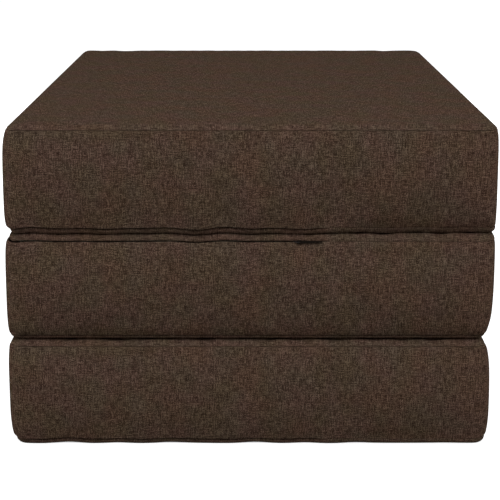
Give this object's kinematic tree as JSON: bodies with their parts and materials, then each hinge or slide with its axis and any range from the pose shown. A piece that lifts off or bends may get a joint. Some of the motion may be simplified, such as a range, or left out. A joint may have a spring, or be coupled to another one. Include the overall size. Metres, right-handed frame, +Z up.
{
  "type": "tri-fold foam mattress seat",
  "caption": "Folding foam mattress stacked as a low seat: equal foam panels in zipped linen-look covers, hinged by fabric strips, opening to a single bed.",
  "frame": {"origin": "centre of the folded stack's footprint, on the floor", "axes": "+X right, the way the mattress unfolds; +Y back, across the bed; +Z up. The picture looks along +Y"},
  "size_m": [0.672, 0.977, 0.4497],
  "materials": {
    "linen": "dark brown heathered plain weave, linen look",
    "foam": "cream open-cell foam",
    "zip_tape": "dark brown woven tape",
    "zip_coil": "dark nylon coil",
    "zip_metal": "dark enamel",
    "pull_rubber": "black moulded rubber"
  },
  "bodies": {
    "lower_panel": {"lower_foam_core": "foam", "lower_cover_face": "linen", "lower_cover_band": "linen", "lower_cover_back": "linen", "lower_zip_band_tape": "zip_tape", "lower_zip_back_tape": "zip_tape", "lower_zip_band_coil": "zip_coil", "lower_zip_back_coil": "zip_coil", "lower_zip_end_stops": "zip_metal", "left_hinge_strip": "linen"},
    "middle_panel": {"middle_foam_core": "foam", "middle_cover_face": "linen", "middle_cover_band": "linen", "middle_cover_back": "linen", "middle_zip_band_tape": "zip_tape", "middle_zip_back_tape": "zip_tape", "middle_zip_band_coil": "zip_coil", "middle_zip_back_coil": "zip_coil", "middle_zip_end_stops": "zip_metal", "right_hinge_strip": "linen"},
    "upper_panel": {"upper_foam_core": "foam", "upper_cover_face": "linen", "upper_cover_band": "linen", "upper_cover_back": "linen", "upper_zip_band_tape": "zip_tape", "upper_zip_back_tape": "zip_tape", "upper_zip_band_coil": "zip_coil", "upper_zip_back_coil": "zip_coil", "upper_zip_end_stops": "zip_metal"},
    "lower_slider": {"lower_zip_slider": "zip_metal"},
    "middle_slider": {"middle_zip_slider": "zip_metal"},
    "upper_slider": {"upper_zip_slider": "zip_metal"},
    "lower_pull": {"lower_zip_pull": "pull_rubber"},
    "middle_pull": {"middle_zip_pull": "pull_rubber"},
    "upper_pull": {"upper_zip_pull": "pull_rubber"}
  },
  "joints": [
    {"name": "left_fold", "type": "hinge", "parent": "lower_panel", "child": "middle_panel", "pos_m": [-0.3365, 0, 0.14985], "axis": [0, -1, 0], "range_deg": [0, 180]},
    {"name": "right_fold", "type": "hinge", "parent": "middle_panel", "child": "upper_panel", "pos_m": [0.3365, 0, 0.29985], "axis": [0, 1, 0], "range_deg": [0, 180]},
    {"name": "lower_zip_slide", "type": "slide", "parent": "lower_panel", "child": "lower_slider", "axis": [0, -1, 0], "range_m": [0, 0.825]},
    {"name": "middle_zip_slide", "type": "slide", "parent": "middle_panel", "child": "middle_slider", "axis": [-1, 0, 0], "range_m": [0, 0.365]},
    {"name": "upper_zip_slide", "type": "slide", "parent": "upper_panel", "child": "upper_slider", "axis": [0, -1, 0], "range_m": [0, 0.825]},
    {"name": "lower_pull_swing", "type": "hinge", "parent": "lower_slider", "child": "lower_pull", "pos_m": [-0.3318, 0.369, 0.009], "axis": [0, 0, 1], "range_deg": [0, 180]},
    {"name": "middle_pull_swing", "type": "hinge", "parent": "middle_slider", "child": "middle_pull", "pos_m": [0.064, -0.4843, 0.2907], "axis": [0, 0, -1], "range_deg": [0, 180]},
    {"name": "upper_pull_swing", "type": "hinge", "parent": "upper_slider", "child": "upper_pull", "pos_m": [-0.3318, 0.369, 0.309], "axis": [0, 0, 1], "range_deg": [0, 180]}
  ]
}
